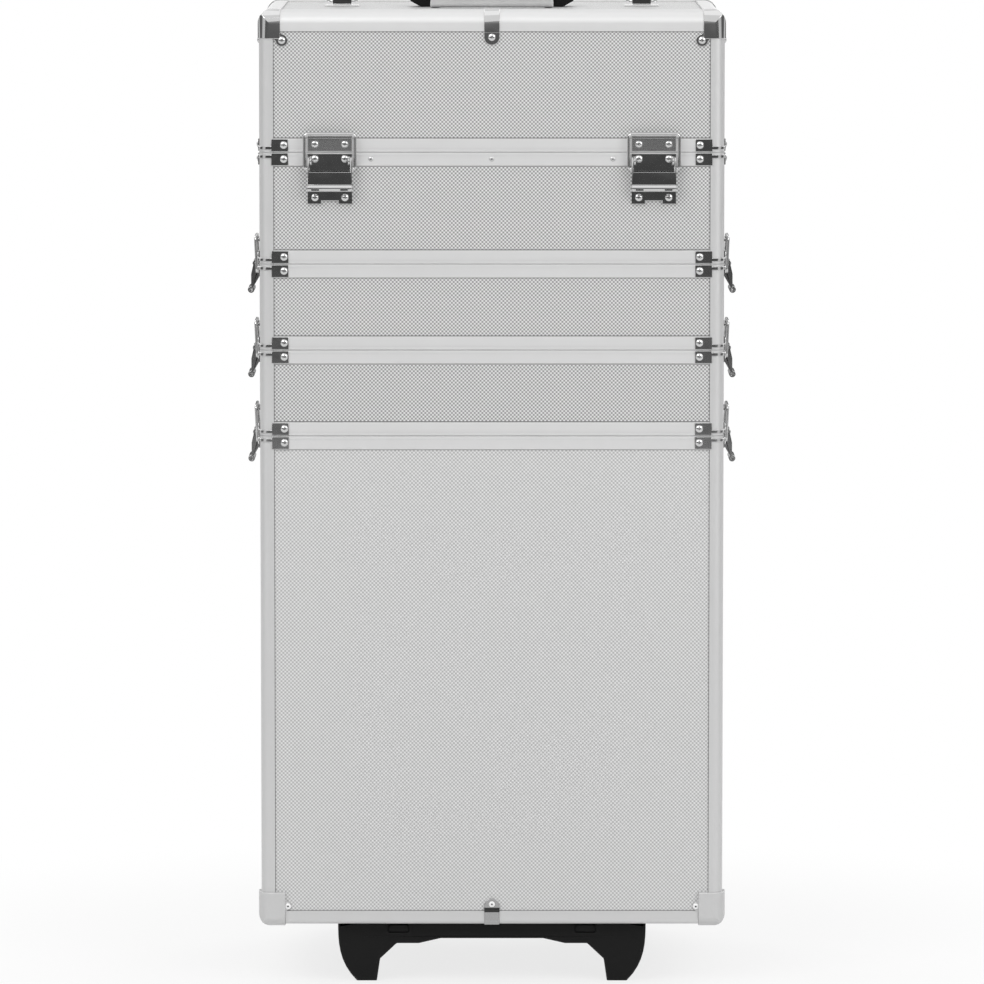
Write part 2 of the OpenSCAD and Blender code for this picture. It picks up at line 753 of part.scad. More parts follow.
module lower_case_frame() color("#e2e2e2") at_case() {
    posts(z_base + cap_h, lower_case_h - seam_gap - cap_h);
    rim(z_lower_tray - seam_gap, true);
    translate([0, 0, z_base]) {
        front_and_back() edge_rail(case_w - 2 * cap_w, base_edge_s, base_edge_r);
        both_sides() edge_rail(case_d - 2 * cap_w, base_edge_s, base_edge_r);
    }
}

module lower_corner_caps() color("#dadada") at_case() translate([0, 0, z_base]) four_corners() {
    corner_fitting(cap_w, cap_h, cap_r, cap_out);
    corner_ears(cap_ear_x, cap_ear_z, cap_ear_r, cap_w, cap_h, cap_out);
}

module lower_case_trim() color("silver") at_case() {
    braces(z_lower_tray - seam_gap, true);
    translate([0, 0, z_base]) front_and_back() edge_clip(base_edge_s, base_edge_r, base_clip_z);
}

module lower_case_latch_plates() color("silver") side_bases(z_lower_tray);

// Front cross beam with two feet, one moulding
module front_feet() color("#171717") at_case() translate([0, foot_inset - half_d, 0]) {
    sole_out = foot_half_w - foot_taper;
    sole_in = sole_out - foot_sole;
    knee_x = sole_in - foot_lean;
    web_x = knee_x - web_w;
    flat_x = web_x - web_flat;
    // Share of a foot's height and of its draft at each step from the case to the floor
    steps = [for (i = [0:round_steps]) [1 - i / round_steps, pow(i / round_steps, 3)]];
    half = concat(
        [for (s = steps) [foot_half_w - foot_taper * s[1], z_base * s[0]]],
        [
            [sole_in, 0], [knee_x, foot_knee], [web_x, z_base - web_h], [flat_x, z_base - web_h],
            [flat_x - web_slope, z_base - beam_h]
        ]
    );
    count = len(half);
    intersection() {
        translate([0, foot_d, 0]) rotate([90, 0, 0]) linear_extrude(height = foot_d)
            polygon(concat(half, [for (i = [1:count]) [-half[count - i][0], half[count - i][1]]]));
        bar(2 * foot_half_w) polygon(concat(
            [for (s = steps) [foot_draft * s[1], z_base * s[0]]],
            [for (i = [0:round_steps]) let (s = steps[round_steps - i])
                [foot_d - foot_draft * s[1], z_base * s[0]]]
        ));
    }
    for (s = [-1, 1])
        translate([s * pad_x - pad_w / 2, -pad_out, z_base - pad_drop - pad_h])
            cube([pad_w, pad_out + foot_d / 2, pad_h]);
}

// Two runners that hold the axle, with a cross bar
module base_runners() color("#171717") at_case() {
    front_y = foot_inset + foot_d - half_d;
    rear_y = half_d + wheel_u;
    difference() {
        union() {
            for (s = [-1, 1]) translate([s * runner_x, 0, 0]) {
                bar(runner_w) polygon([
                    [front_y, z_base], [front_y, z_base - runner_h],
                    [half_d - axle_boss_r, z_base - runner_h],
                    [rear_y - axle_boss_r / 2, wheel_r - axle_boss_r / 2],
                    [rear_y + axle_boss_r / 2, wheel_r], [rear_y + axle_boss_r / 2, z_base]
                ]);
                translate([-runner_w / 2, rear_y, wheel_r]) rotate([0, 90, 0])
                    cylinder(r = axle_boss_r, h = runner_w);
            }
            translate([-runner_x, half_d - cross_inset - cross_d, z_base - runner_h])
                cube([2 * runner_x, cross_d, runner_h]);
        }
        translate([-case_w, rear_y, wheel_r]) rotate([0, 90, 0]) cylinder(r = axle_r, h = 2 * case_w);
    }
}

module axle() color("#b8b8b8") at_case() translate([0, half_d + wheel_u, wheel_r]) {
    end_x = wheel_x + tyre_w + wheel_gap;
    translate([-end_x, 0, 0]) rotate([0, 90, 0]) cylinder(r = axle_r, h = 2 * end_x);
    for (s = [-1, 1])
        translate([s * end_x, 0, 0]) rotate([0, s * 90, 0]) cylinder(r = axle_cap_r, h = axle_cap_t);
}

module outer_tubes() color("#c4c4c4") at_case() tube_pair(tube_w, tube_d, tube_z, tube_top);

module middle_tubes() color("#cccccc") at_case() tube_pair(mid_w, mid_d, tube_z + tube_step, mid_top);

module inner_tubes() color("#d4d4d4") at_case() tube_pair(inner_w, inner_d, tube_z + 2 * tube_step, grip_z);

// Plastic blocks that hold the outer tubes to the case's back
module tube_brackets() color("#1a1a1a") at_case() {
    block_w = tube_w + 2 * tube_bracket_t;
    block_d = tube_u + rail_proud + tube_d / 2 + tube_bracket_t;
    for (s = [-1, 1], z = [tube_z, tube_top - tube_bracket_h - tube_step])
        difference() {
            translate([s * tube_x, half_d - rail_proud + block_d / 2, z])
                linear_extrude(height = tube_bracket_h) polygon(concat(
                    [[-block_w / 2, -block_d / 2], [block_w / 2, -block_d / 2]],
                    arc([block_w / 2 - tube_bracket_t, block_d / 2 - tube_bracket_t], tube_bracket_t, 0, 90),
                    arc([tube_bracket_t - block_w / 2, block_d / 2 - tube_bracket_t], tube_bracket_t, 90, 180)
                ));
            translate([s * tube_x, pull_y, z - overcut]) linear_extrude(height = tube_bracket_h + 2 * overcut)
                polygon(round_rect(tube_w, tube_d, tube_wall));
        }
}

// Grip across the inner tubes, with a pocket for the button
module pull_grip() color("#1a1a1a") at_case() translate([0, pull_y, grip_z]) difference() {
    translate([0, 0, grip_h / 2]) bar(2 * (tube_x + grip_over)) polygon(round_rect(grip_d, grip_h, grip_r));
    translate([0, 0, grip_h - button_in - button_travel]) linear_extrude(height = grip_h)
        polygon(round_rect(button_l + 2 * button_gap, button_d + 2 * button_gap, button_d / 4 + button_gap));
}

module release_button() color("#3a3a3a") at_case() translate([0, pull_y, grip_z + grip_h - button_in])
    linear_extrude(height = button_in + button_up) polygon(round_rect(button_l, button_d, button_d / 4));

module left_hub() hub(-1);

module left_tyre() tyre(-1);

module right_hub() hub(1);

module right_tyre() tyre(1);

module lower_tray_panels() color("#d4d4d4") at_case() tier_panels(z_lower_tray, lower_tray_h);

module lower_tray_frame() color("#e2e2e2") at_case() tier_frame(z_lower_tray, lower_tray_h);

module lower_tray_braces() color("silver") at_case() tier_braces(z_lower_tray, lower_tray_h);

module lower_tray_latch_plates() color("silver") {
    side_catches(z_lower_tray);
    side_bases(z_upper_tray);
}

module upper_tray_panels() color("#d4d4d4") at_case() tier_panels(z_upper_tray, upper_tray_h);

module upper_tray_frame() color("#e2e2e2") at_case() tier_frame(z_upper_tray, upper_tray_h);

module upper_tray_braces() color("silver") at_case() tier_braces(z_upper_tray, upper_tray_h);

module upper_tray_latch_plates() color("silver") {
    side_catches(z_upper_tray);
    side_bases(z_top_case);
}

module top_case_panels() color("#d4d4d4") at_case() tier_panels(z_top_case, top_case_h);

module top_case_frame() color("#e2e2e2") at_case() tier_frame(z_top_case, top_case_h, false);

module top_case_braces() color("silver") at_case() tier_braces(z_top_case, top_case_h);

module top_case_latch_plates() color("silver") {
    side_catches(z_top_case);
    for (s = [-1, 1]) at_latch("front", z_lid, s * latch_x) latch_base();
}

module hinge_lower_leaf() color("#c8c8c8") at_case() translate([0, half_d, z_lid]) mirror([0, 0, 1])
    hinge_leaf(0, hinge_pin_r);

module hinge_upper_leaf() color("#c8c8c8") at_case() translate([0, half_d, z_lid])
    hinge_leaf(1, hinge_pin_r + run_gap);

module hinge_pin() color("#b0b0b0") at_case() translate([-hinge_l / 2, half_d + hinge_u, z_lid])
    rotate([0, 90, 0]) cylinder(r = hinge_pin_r, h = hinge_l);

module lid_panels() color("#d4d4d4") at_case() difference() {
    union() {
        walls(z_lid, lid_h, rim_web, lid_edge_s - slot_d);
        slotted_sheet(z_deck - panel_t, lid_edge_s);
    }
    fitting_room(z_top - guard_h, lid_edge_s, guard_h);
}

module lid_frame() color("#e2e2e2") at_case() {
    posts(z_lid, lid_h - guard_h);
    rim(z_lid, false);
    translate([0, 0, z_top]) mirror([0, 0, 1]) {
        front_and_back() edge_rail(case_w - 2 * lid_edge_s, lid_edge_s, lid_edge_r);
        both_sides() edge_rail(case_d - 2 * lid_edge_s, lid_edge_s, lid_edge_r);
    }
}

module lid_corner_guards() color("silver") at_case() translate([0, 0, z_top]) mirror([0, 0, 1]) {
    four_corners() {
        corner_fitting(lid_edge_s, guard_h, lid_edge_r + trim_t, trim_t);
        corner_ears(guard_ear_x, guard_ear_z, guard_ear_r, lid_edge_s, guard_h, trim_t, guard_neck);
    }
    front_and_back() edge_clip(lid_edge_s, lid_edge_r, lid_clip_z);
}

module lid_braces() color("silver") at_case() braces(z_lid, false);

module lid_catches() color("silver") for (s = [-1, 1]) at_latch("front", z_lid, s * latch_x) latch_catch();

// Black end mounts of the carry handle
module carry_brackets() color("#161616") at_case() for (m = [0, 1]) mirror([m, 0, 0]) difference() {
    translate([carry_w / 2, bracket_d / 2, z_deck]) rotate([90, 0, 0]) linear_extrude(height = bracket_d)
        polygon([
            [0, 0], [bracket_w - bracket_slope_w, 0], [bracket_w, bracket_slope_h],
            [bracket_w, bracket_h - bracket_slope_h / 2],
            [bracket_w - bracket_slope_h / 2, bracket_h], [0, bracket_h]
        ]);
    translate([carry_w / 2 - overcut, 0, z_deck + carry_z]) rotate([0, 90, 0])
        cylinder(r = carry_pin_r + run_gap, h = carry_pin_l + 2 * overcut);
}

// Carry handle, folded forward on the lid
module carry_handle() color("#cfcfcf") at_case() translate([0, 0, z_deck + carry_z]) mirror([0, 1, 0]) {
    half = carry_w / 2 - carry_gap;
    for (s = [-1, 1]) {
        translate([s * (half - carry_arm_t / 2), 0, 0]) bar(carry_arm_t) polygon(concat(
            arc([0, 0], carry_t / 2, 90, 270), [[carry_l, -carry_t / 2], [carry_l, carry_t / 2]]
        ));
        translate([s * (half - carry_arm_t / 2), 0, 0]) rotate([0, s * 90, 0])
            cylinder(r = carry_pin_r, h = carry_arm_t / 2 + carry_gap + carry_pin_l);
    }
    translate([0, carry_l, 0]) bar(2 * half) polygon(round_rect(grip_bar_d, carry_t, carry_t / 3));
}

// Saddle plates with the barrels that hold the strap rings
module strap_saddles() color("silver") at_case() for (s = [-1, 1]) translate([s * saddle_x, 0, z_deck]) {
    translate([-saddle_w / 2, -saddle_d / 2, 0]) cube([saddle_w, saddle_d, latch_t]);
    difference() {
        union() {
            translate([-barrel_l / 2, 0, latch_t + barrel_r]) rotate([0, 90, 0])
                cylinder(r = barrel_r, h = barrel_l);
            translate([-barrel_l / 2, -barrel_r / 2, latch_t]) cube([barrel_l, barrel_r, barrel_r]);
        }
        translate([-barrel_l, 0, latch_t + barrel_r]) rotate([0, 90, 0])
            cylinder(r = ring_wire_r + run_gap, h = 2 * barrel_l);
    }
}

// D-shaped ring, laid back on the lid
module strap_ring(side) {
    bow = ring_wire_r * 1.5;
    color("silver") at_case() translate([side * saddle_x, 0, z_deck + latch_t + barrel_r]) {
        translate([bow - ring_r, 0, 0]) rotate([0, 90, 0]) cylinder(r = ring_wire_r, h = 2 * (ring_r - bow));
        for (m = [0, 1]) mirror([m, 0, 0]) {
            translate([ring_r - bow, bow, 0]) rotate([0, 0, 270]) rotate_extrude(angle = 90)
                translate([bow, 0]) circle(ring_wire_r);
            translate([ring_r, bow, 0]) rotate([-90, 0, 0]) cylinder(r = ring_wire_r, h = ring_leg);
        }
        translate([0, bow + ring_leg, 0]) rotate_extrude(angle = 180)
            translate([ring_r, 0]) circle(ring_wire_r);
    }
}

lower_case_panels();
lower_case_frame();
lower_corner_caps();
lower_case_trim();
lower_case_latch_plates();
front_feet();
base_runners();
axle();
outer_tubes();
tube_brackets();
left_hub();
left_tyre();
right_hub();
right_tyre();
middle_tubes();
inner_tubes();
pull_grip();
release_button();
lower_tray_panels();
lower_tray_frame();
lower_tray_braces();
lower_tray_latch_plates();
upper_tray_panels();
upper_tray_frame();
upper_tray_braces();
upper_tray_latch_plates();
top_case_panels();
top_case_frame();
top_case_braces();
top_case_latch_plates();
hinge_lower_leaf();
hinge_pin();
lid_panels();
lid_frame();
lid_corner_guards();
lid_braces();
lid_catches();
hinge_upper_leaf();
carry_brackets();
carry_handle();
strap_saddles();
strap_ring(-1);  // left_strap_ring
strap_ring(1);  // right_strap_ring
lever("front", z_lid, -latch_x);  // front_left_lever
lever("front", z_lid, latch_x);  // front_right_lever
lever("left", z_top_case);  // left_upper_lever
lever("left", z_upper_tray);  // left_middle_lever
lever("left", z_lower_tray);  // left_lower_lever
lever("right", z_top_case);  // right_upper_lever
lever("right", z_upper_tray);  // right_middle_lever
lever("right", z_lower_tray);  // right_lower_lever
bail("front", z_lid, -latch_x);  // front_left_bail
bail("front", z_lid, latch_x);  // front_right_bail
bail("left", z_top_case);  // left_upper_bail
bail("left", z_upper_tray);  // left_middle_bail
bail("left", z_lower_tray);  // left_lower_bail
bail("right", z_top_case);  // right_upper_bail
bail("right", z_upper_tray);  // right_middle_bail
bail("right", z_lower_tray);  // right_lower_bail
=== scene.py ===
import json
import math

import bpy
import numpy as np
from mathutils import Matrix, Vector


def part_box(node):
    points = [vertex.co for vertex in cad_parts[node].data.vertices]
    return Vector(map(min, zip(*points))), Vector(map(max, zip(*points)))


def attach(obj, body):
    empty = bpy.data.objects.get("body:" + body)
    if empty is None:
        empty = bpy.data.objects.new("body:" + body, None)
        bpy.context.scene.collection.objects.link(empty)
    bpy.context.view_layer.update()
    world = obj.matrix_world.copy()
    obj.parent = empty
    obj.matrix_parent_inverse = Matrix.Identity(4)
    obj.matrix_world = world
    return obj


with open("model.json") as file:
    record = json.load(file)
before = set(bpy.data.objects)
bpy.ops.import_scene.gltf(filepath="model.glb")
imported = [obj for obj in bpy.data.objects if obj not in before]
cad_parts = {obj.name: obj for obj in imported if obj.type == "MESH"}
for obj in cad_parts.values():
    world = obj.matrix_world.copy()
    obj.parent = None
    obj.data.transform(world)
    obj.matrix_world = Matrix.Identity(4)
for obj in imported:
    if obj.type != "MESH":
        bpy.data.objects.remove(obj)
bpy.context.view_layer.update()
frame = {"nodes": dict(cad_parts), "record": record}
nodes = frame["nodes"]

# where the case stands, read from the frame (metres)
lidLow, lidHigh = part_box("lid_frame")
caseFront, caseBack = lidLow.y, lidHigh.y
caseHalf = lidHigh.x
caseMid = (caseFront + caseBack) / 2
caseHalfDepth = (caseBack - caseFront) / 2
lidTop = lidHigh.z
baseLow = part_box("lower_case_frame")[0].z
tierBelow = {
    "lid": "top_case", "top_case": "upper_tray", "upper_tray": "lower_tray", "lower_tray": "trolley",
}
seam = {tier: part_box(tier + "_frame")[0].z for tier in tierBelow}


# small helpers for shader trees
def feed(tree, socket, value):
    if isinstance(value, bpy.types.NodeSocket):
        tree.links.new(value, socket)
    else:
        socket.default_value = value


def calc(tree, operation, *values):
    node = tree.nodes.new("ShaderNodeMath")
    node.operation = operation
    for socket, value in zip(node.inputs, values):
        feed(tree, socket, value)
    return node.outputs[0]


def clamp(tree, value):
    return calc(tree, "MINIMUM", calc(tree, "MAXIMUM", value, 0.0), 1.0)


def vector(tree, operation, *values):
    node = tree.nodes.new("ShaderNodeVectorMath")
    node.operation = operation
    for socket, value in zip(node.inputs, values):
        feed(tree, socket, value)
    return node.outputs["Value" if operation == "DOT_PRODUCT" else "Vector"]


def split(tree, value):
    node = tree.nodes.new("ShaderNodeSeparateXYZ")
    feed(tree, node.inputs[0], value)
    return node.outputs


def mixValue(tree, share, low, high):
    node = tree.nodes.new("ShaderNodeMix")
    for socket, value in zip((node.inputs[0], node.inputs[2], node.inputs[3]), (share, low, high)):
        feed(tree, socket, value)
    return node.outputs[0]


def mixColour(tree, share, low, high):
    node = tree.nodes.new("ShaderNodeMix")
    node.data_type = "RGBA"
    for socket, value in zip((node.inputs[0], node.inputs[6], node.inputs[7]), (share, low, high)):
        feed(tree, socket, value)
    return node.outputs[2]


def noise(tree, position, scale, detail):
    node = tree.nodes.new("ShaderNodeTexNoise")
    feed(tree, node.inputs["Vector"], position)
    feed(tree, node.inputs["Scale"], scale)
    node.inputs["Detail"].default_value = detail
    return node.outputs[0]


# a value that wanders by spread round its middle
def wander(tree, mask, middle, spread):
    return calc(tree, "MULTIPLY_ADD", mask, spread, middle - spread / 2)


def newGroup(name, inputs, outputs):
    tree = bpy.data.node_groups.new(name, "ShaderNodeTree")
    for label in inputs:
        kind = "NodeSocketVector" if label in ("Position", "Normal", "Centre") else "NodeSocketFloat"
        tree.interface.new_socket(label, in_out="INPUT", socket_type=kind)
    for label in outputs:
        tree.interface.new_socket(label, in_out="OUTPUT", socket_type="NodeSocketFloat")
    return tree, tree.nodes.new("NodeGroupInput").outputs, tree.nodes.new("NodeGroupOutput").inputs


# a group's inputs by name, with no space between a name's words
def place(tree, group, **values):
    node = tree.nodes.new("ShaderNodeGroup")
    node.node_tree = group
    for socket in node.inputs:
        feed(tree, socket, values[socket.name.replace(" ", "")])
    return node.outputs[0]


def bump(tree, height, strength, distance):
    node = tree.nodes.new("ShaderNodeBump")
    node.inputs["Strength"].default_value = strength
    node.inputs["Distance"].default_value = distance
    feed(tree, node.inputs["Height"], height)
    return node.outputs["Normal"]


def grey(value):
    return (value, value, value, 1.0)


squareOn = 0.6  # a face looks along an axis where that part of its normal is larger than this


# embossed dots in a diagonal lattice: (cos u + cos v) / 4 + 1 / 2, u and v along the wall's two diagonals
def makeSkinDots():
    tree, given, result = newGroup("skinDots", ("Position", "Normal", "Pitch"), ("Dots",))
    x, y, z = split(tree, given["Position"])
    nx, _, nz = split(tree, vector(tree, "ABSOLUTE", given["Normal"]))
    onSide = calc(tree, "GREATER_THAN", nx, squareOn)
    onTop = calc(tree, "GREATER_THAN", nz, squareOn)
    across = mixValue(tree, onSide, x, y)
    up = mixValue(tree, onTop, z, y)
    turn = calc(tree, "DIVIDE", math.pi * math.sqrt(2), given["Pitch"])
    u = calc(tree, "COSINE", calc(tree, "MULTIPLY", calc(tree, "ADD", across, up), turn))
    v = calc(tree, "COSINE", calc(tree, "MULTIPLY", calc(tree, "SUBTRACT", across, up), turn))
    feed(tree, result["Dots"], calc(tree, "MULTIPLY_ADD", calc(tree, "ADD", u, v), 0.25, 0.5))
    return tree


# 1 on faces that look towards a tier's middle
def makeInside():
    tree, given, result = newGroup("insideOfTier", ("Position", "Normal", "Centre"), ("Inside",))
    towards = vector(tree, "SUBTRACT", given["Centre"], given["Position"])
    facing = vector(tree, "DOT_PRODUCT", towards, given["Normal"])
    feed(tree, result["Inside"], calc(tree, "GREATER_THAN", facing, 0.0))
    return tree


# drawn lines of an extrusion: noise stretched along the rail, picked by where the rail lies
drawing = {"along": 12, "across": 2600, "detail": 3.0, "railWidth": 0.011}


def makeDrawnLines():
    labels = ("Position", "Half Width", "Half Depth", "Middle")
    tree, given, result = newGroup("drawnLines", labels, ("Lines",))
    x, y, _ = split(tree, given["Position"])
    fromMid = calc(tree, "ABSOLUTE", calc(tree, "SUBTRACT", y, given["Middle"]))
    sideStart = calc(tree, "SUBTRACT", given["Half Width"], drawing["railWidth"])
    endStart = calc(tree, "SUBTRACT", given["Half Depth"], drawing["railWidth"])
    atSide = calc(tree, "GREATER_THAN", calc(tree, "ABSOLUTE", x), sideStart)
    atEnd = calc(tree, "GREATER_THAN", fromMid, endStart)
    lines = []
    for axis in range(3):
        stretch = [drawing["across"]] * 3
        stretch[axis] = drawing["along"]
        stretched = vector(tree, "MULTIPLY", given["Position"], stretch)
        lines.append(noise(tree, stretched, 1.0, drawing["detail"]))
    rails = mixValue(tree, atSide, lines[0], lines[1])
    feed(tree, result["Lines"], mixValue(tree, calc(tree, "MULTIPLY", atSide, atEnd), rails, lines[2]))
    return tree


# 1 - distance / width along the border of a panel's visible face, where the rails' lips lie over it; it
# places the painted shadow line under the lips
def makeBorder():
    sizes = ("Half Width", "Half Depth", "Middle", "Low", "High", "Deck Inset", "Width")
    tree, given, result = newGroup("panelBorder", ("Position", "Normal", *sizes), ("Border",))
    x, y, z = split(tree, given["Position"])
    normal = split(tree, vector(tree, "ABSOLUTE", given["Normal"]))
    facing = [calc(tree, "GREATER_THAN", part, squareOn) for part in normal]
    inset = calc(tree, "MULTIPLY", facing[2], given["Deck Inset"])
    halfWidth = calc(tree, "SUBTRACT", given["Half Width"], inset)
    halfDepth = calc(tree, "SUBTRACT", given["Half Depth"], inset)
    fromMid = calc(tree, "ABSOLUTE", calc(tree, "SUBTRACT", y, given["Middle"]))
    across = calc(tree, "SUBTRACT", halfWidth, calc(tree, "ABSOLUTE", x))
    along = calc(tree, "SUBTRACT", halfDepth, fromMid)
    aboveLow = calc(tree, "SUBTRACT", z, given["Low"])
    belowHigh = calc(tree, "SUBTRACT", given["High"], z)
    up = calc(tree, "MINIMUM", aboveLow, belowHigh)
    # a face skips the distance along its own normal: a metre is added to it
    near = [calc(tree, "ADD", gap, skip) for gap, skip in zip((across, along, up), facing)]
    nearest = calc(tree, "MINIMUM", near[0], calc(tree, "MINIMUM", near[1], near[2]))
    share = calc(tree, "SUBTRACT", 1.0, calc(tree, "DIVIDE", nearest, given["Width"]))
    feed(tree, result["Border"], clamp(tree, share))
    return tree


# broad soft handling marks with finer ones among them
marking = {"detail": 4.0, "fineScale": 9.0, "fineDetail": 3.0, "fineShare": 0.35}


def makeMarks():
    tree, given, result = newGroup("handlingMarks", ("Position", "Scale"), ("Marks",))
    broad = noise(tree, given["Position"], given["Scale"], marking["detail"])
    fineScale = calc(tree, "MULTIPLY", given["Scale"], marking["fineScale"])
    fine = noise(tree, given["Position"], fineScale, marking["fineDetail"])
    feed(tree, result["Marks"], mixValue(tree, marking["fineShare"], broad, fine))
    return tree


# spark-eroded grain of moulded plastic: cells with finer noise over them
graining = {"fineScale": 2.0, "fineDetail": 3.0, "fineShare": 0.5}


def makeGrain():
    tree, given, result = newGroup("mouldGrain", ("Position", "Scale"), ("Grain",))
    cells = tree.nodes.new("ShaderNodeTexVoronoi")
    feed(tree, cells.inputs["Vector"], given["Position"])
    feed(tree, cells.inputs["Scale"], given["Scale"])
    fineScale = calc(tree, "MULTIPLY", given["Scale"], graining["fineScale"])
    fine = noise(tree, given["Position"], fineScale, graining["fineDetail"])
    feed(tree, result["Grain"], mixValue(tree, graining["fineShare"], cells.outputs["Distance"], fine))
    return tree


skinDots, insideOfTier, drawnLines = makeSkinDots(), makeInside(), makeDrawnLines()
panelBorder, handlingMarks, mouldGrain = makeBorder(), makeMarks(), makeGrain()
print("shader groups ready")


def startMaterial(name):
    material = bpy.data.materials.new(name)
    material.use_nodes = True
    tree = material.node_tree
    coords = tree.nodes.new("ShaderNodeTexCoord")
    return material, tree, tree.nodes["Principled BSDF"].inputs, coords.outputs


# panel skin outside, dark lining inside; wall, lower wall and deck entries hold the dots' middle grey and
# half range; the lower wall and deck greys are lighter as painted light, bounced up from the floor and
# falling from above
panelSkin = {
    "wall": (0.50, 0.35), "lowWall": (0.575, 0.22), "deck": (0.57, 0.24), "pitch": 0.002,
    "relief": 0.6, "height": 0.00022, "roughness": 0.42, "spread": 0.14, "metallic": 0.1,
    "marksScale": 7.0, "marksShare": 0.06, "marksColour": grey(0.5),
    "lining": grey(0.016), "liningRoughness": 0.88, "napScale": 1400.0,
    "post": 0.0105, "rim": 0.0103, "lidEdge": 0.0157, "baseEdge": 0.0100,
    "line": 0.0008, "lineColour": grey(0.12),
}
tierTop = {"lid": lidTop - panelSkin["lidEdge"], "lower_case": seam["lower_tray"] - panelSkin["rim"]}
tierTop.update({below: seam[tier] - panelSkin["rim"] for tier, below in tierBelow.items() if below in seam})
tierLow = {tier: seam[tier] + panelSkin["rim"] for tier in seam}
tierLow["lower_case"] = baseLow + panelSkin["baseEdge"]


def dotGreys(kind):
    middle, half = panelSkin[kind]
    return grey(middle - half), grey(middle + half)


def makePanel(tier):
    material, tree, shader, coords = startMaterial("textured panel " + tier)
    low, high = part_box(tier + "_panels")
    spot, normal = coords["Object"], coords["Normal"]
    dots = place(tree, skinDots, Position=spot, Normal=normal, Pitch=panelSkin["pitch"])
    inside = place(tree, insideOfTier, Position=spot, Normal=normal, Centre=(low + high) / 2)
    marks = place(tree, handlingMarks, Position=spot, Scale=panelSkin["marksScale"])
    nap = place(tree, mouldGrain, Position=spot, Scale=panelSkin["napScale"])
    border = place(
        tree, panelBorder, Position=spot, Normal=normal, Middle=caseMid,
        HalfWidth=caseHalf - panelSkin["post"], HalfDepth=caseHalfDepth - panelSkin["post"],
        Low=tierLow[tier], High=tierTop[tier], DeckInset=panelSkin["lidEdge"] - panelSkin["post"],
        Width=panelSkin["line"],
    )
    # lower case walls in a lighter grey: painted light bounced from the floor
    skin = mixColour(tree, dots, *dotGreys("lowWall" if tier == "lower_case" else "wall"))
    onDeck = calc(tree, "GREATER_THAN", split(tree, normal)[2], squareOn)
    # deck in a lighter grey: painted light from above
    skin = mixColour(tree, onDeck, skin, mixColour(tree, dots, *dotGreys("deck")))
    marked = calc(tree, "MULTIPLY", marks, panelSkin["marksShare"])
    skin = mixColour(tree, marked, skin, panelSkin["marksColour"])
    # painted shadow line along the panel's border, under the rails' lips
    skin = mixColour(tree, border, skin, panelSkin["lineColour"])
    feed(tree, shader["Base Color"], mixColour(tree, inside, skin, panelSkin["lining"]))
    worn = wander(tree, marks, panelSkin["roughness"], panelSkin["spread"])
    feed(tree, shader["Roughness"], mixValue(tree, inside, worn, panelSkin["liningRoughness"]))
    feed(tree, shader["Metallic"], mixValue(tree, inside, panelSkin["metallic"], 0.0))
    relief = mixValue(tree, inside, dots, nap)
    feed(tree, shader["Normal"], bump(tree, relief, panelSkin["relief"], panelSkin["height"]))
    return material


# satin extrusions: rails are a little lighter than the corner posts and the base edge, as painted light and
# shade on one aluminium: the upright posts and the low base edge get less light from above
railFinish = {
    "colour": grey(0.74), "shade": grey(0.65), "postColour": grey(0.635), "postShade": grey(0.56),
    "post": 0.0108, "metallic": 0.3, "roughness": 0.38, "spread": 0.16, "marksScale": 9.0,
    "relief": 0.35, "height": 0.00003,
}


def makeRail():
    material, tree, shader, coords = startMaterial("satin aluminium")
    spot = coords["Object"]
    lines = place(
        tree, drawnLines, Position=spot, HalfWidth=caseHalf, HalfDepth=caseHalfDepth, Middle=caseMid
    )
    marks = place(tree, handlingMarks, Position=spot, Scale=railFinish["marksScale"])
    share = calc(tree, "MULTIPLY", calc(tree, "ADD", lines, marks), 0.5)  # their mean
    x, y, z = split(tree, spot)
    fromMid = calc(tree, "ABSOLUTE", calc(tree, "SUBTRACT", y, caseMid))
    atSide = calc(tree, "GREATER_THAN", calc(tree, "ABSOLUTE", x), caseHalf - railFinish["post"])
    atEnd = calc(tree, "GREATER_THAN", fromMid, caseHalfDepth - railFinish["post"])
    atBase = calc(tree, "LESS_THAN", z, baseLow + railFinish["post"])
    # corner posts and base edge in darker greys: painted shade
    onShadedPost = calc(tree, "MAXIMUM", calc(tree, "MULTIPLY", atSide, atEnd), atBase)
    rails = mixColour(tree, share, railFinish["shade"], railFinish["colour"])
    posts = mixColour(tree, share, railFinish["postShade"], railFinish["postColour"])
    feed(tree, shader["Base Color"], mixColour(tree, onShadedPost, rails, posts))
    shader["Metallic"].default_value = railFinish["metallic"]
    feed(tree, shader["Roughness"], wander(tree, share, railFinish["roughness"], railFinish["spread"]))
    feed(tree, shader["Normal"], bump(tree, lines, railFinish["relief"], railFinish["height"]))
    return material


# bright plating with faint marks, or duller zinc; wave is how far the stamped sheet is from flat
plating = {"waveScale": 2.0, "waveDetail": 1.0, "relief": 1.0}


def makeMetal(name, colour, shade, roughness, spread, scale=40.0, wave=0.00001):
    material, tree, shader, coords = startMaterial(name)
    marks = place(tree, handlingMarks, Position=coords["Object"], Scale=scale)
    waves = noise(tree, coords["Object"], scale * plating["waveScale"], plating["waveDetail"])
    feed(tree, shader["Base Color"], mixColour(tree, marks, shade, colour))
    shader["Metallic"].default_value = 1.0
    feed(tree, shader["Roughness"], wander(tree, marks, roughness, spread))
    feed(tree, shader["Normal"], bump(tree, waves, plating["relief"], wave))
    return material


# moulded plastic or rubber with its grain
moulding = {"marksScale": 14.0, "spread": 0.18, "relief": 0.4}


